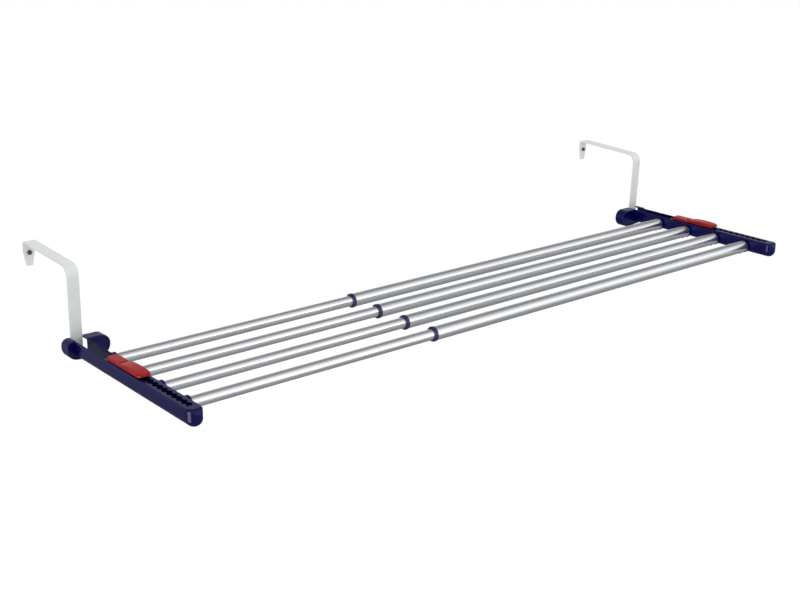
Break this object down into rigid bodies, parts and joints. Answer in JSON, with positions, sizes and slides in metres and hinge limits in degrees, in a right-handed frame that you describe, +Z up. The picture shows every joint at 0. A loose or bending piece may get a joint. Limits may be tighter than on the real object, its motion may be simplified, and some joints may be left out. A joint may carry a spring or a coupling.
{
  "type": "hanging clothes airer",
  "caption": "Hang-over clothes airer with telescopic aluminium rods between two side arms, each on a strap hook that slides in the arm and locks with a lever catch.",
  "frame": {"origin": "mid span, at the height of the strap seats where the uprights meet them, in the plane of the arms' rear feet", "axes": "+X along the rods to the right arm, +Y towards and over the railing, +Z up"},
  "size_m": [1.1108, 0.4275, 0.1288],
  "materials": {
    "arm_plastic": "navy blue moulded plastic, satin gloss",
    "collar_plastic": "navy blue moulded plastic",
    "catch_plastic": "red moulded plastic, gloss",
    "rod_aluminium": "satin anodised",
    "strap_enamel": "pale grey powder coat",
    "bumper_rubber": "black soft rubber",
    "steel_fixings": "zinc plated",
    "guide_plastic": "natural plastic"
  },
  "bodies": {
    "right_side": {"right_arm": "arm_plastic", "right_toothed_plate": "arm_plastic", "right_rod_screws": "steel_fixings", "outer_rod_1": "rod_aluminium", "outer_rod_2": "rod_aluminium", "outer_rod_3": "rod_aluminium", "outer_rod_4": "rod_aluminium", "collar_1": "collar_plastic", "collar_2": "collar_plastic", "collar_3": "collar_plastic", "collar_4": "collar_plastic"},
    "left_side": {"left_arm": "arm_plastic", "left_toothed_plate": "arm_plastic", "left_rod_screws": "steel_fixings", "inner_rod_1": "rod_aluminium", "inner_rod_2": "rod_aluminium", "inner_rod_3": "rod_aluminium", "inner_rod_4": "rod_aluminium", "rod_guide_1": "guide_plastic", "rod_guide_2": "guide_plastic", "rod_guide_3": "guide_plastic", "rod_guide_4": "guide_plastic"},
    "left_hook": {"left_hook_strap": "strap_enamel", "left_tip_bumper": "bumper_rubber", "left_slide": "catch_plastic", "left_slide_rivets": "steel_fixings", "left_lever_pin": "steel_fixings"},
    "left_catch": {"left_lever": "catch_plastic"},
    "right_hook": {"right_hook_strap": "strap_enamel", "right_tip_bumper": "bumper_rubber", "right_slide": "catch_plastic", "right_slide_rivets": "steel_fixings", "right_lever_pin": "steel_fixings"},
    "right_catch": {"right_lever": "catch_plastic"}
  },
  "joints": [
    {"name": "rod_telescope", "type": "slide", "parent": "right_side", "child": "left_side", "axis": [1, 0, 0], "range_m": [0, 0.364]},
    {"name": "left_hook_slide", "type": "slide", "parent": "left_side", "child": "left_hook", "axis": [0, -1, 0], "range_m": [0, 0.088]},
    {"name": "left_lever_lift", "type": "hinge", "parent": "left_hook", "child": "left_catch", "pos_m": [-0.53525, -0.129, -0.0904], "axis": [-1, 0, 0], "range_deg": [0, 35]},
    {"name": "right_hook_slide", "type": "slide", "parent": "right_side", "child": "right_hook", "axis": [0, -1, 0], "range_m": [0, 0.088]},
    {"name": "right_lever_lift", "type": "hinge", "parent": "right_hook", "child": "right_catch", "pos_m": [0.53525, -0.129, -0.0904], "axis": [-1, 0, 0], "range_deg": [0, 35]}
  ]
}
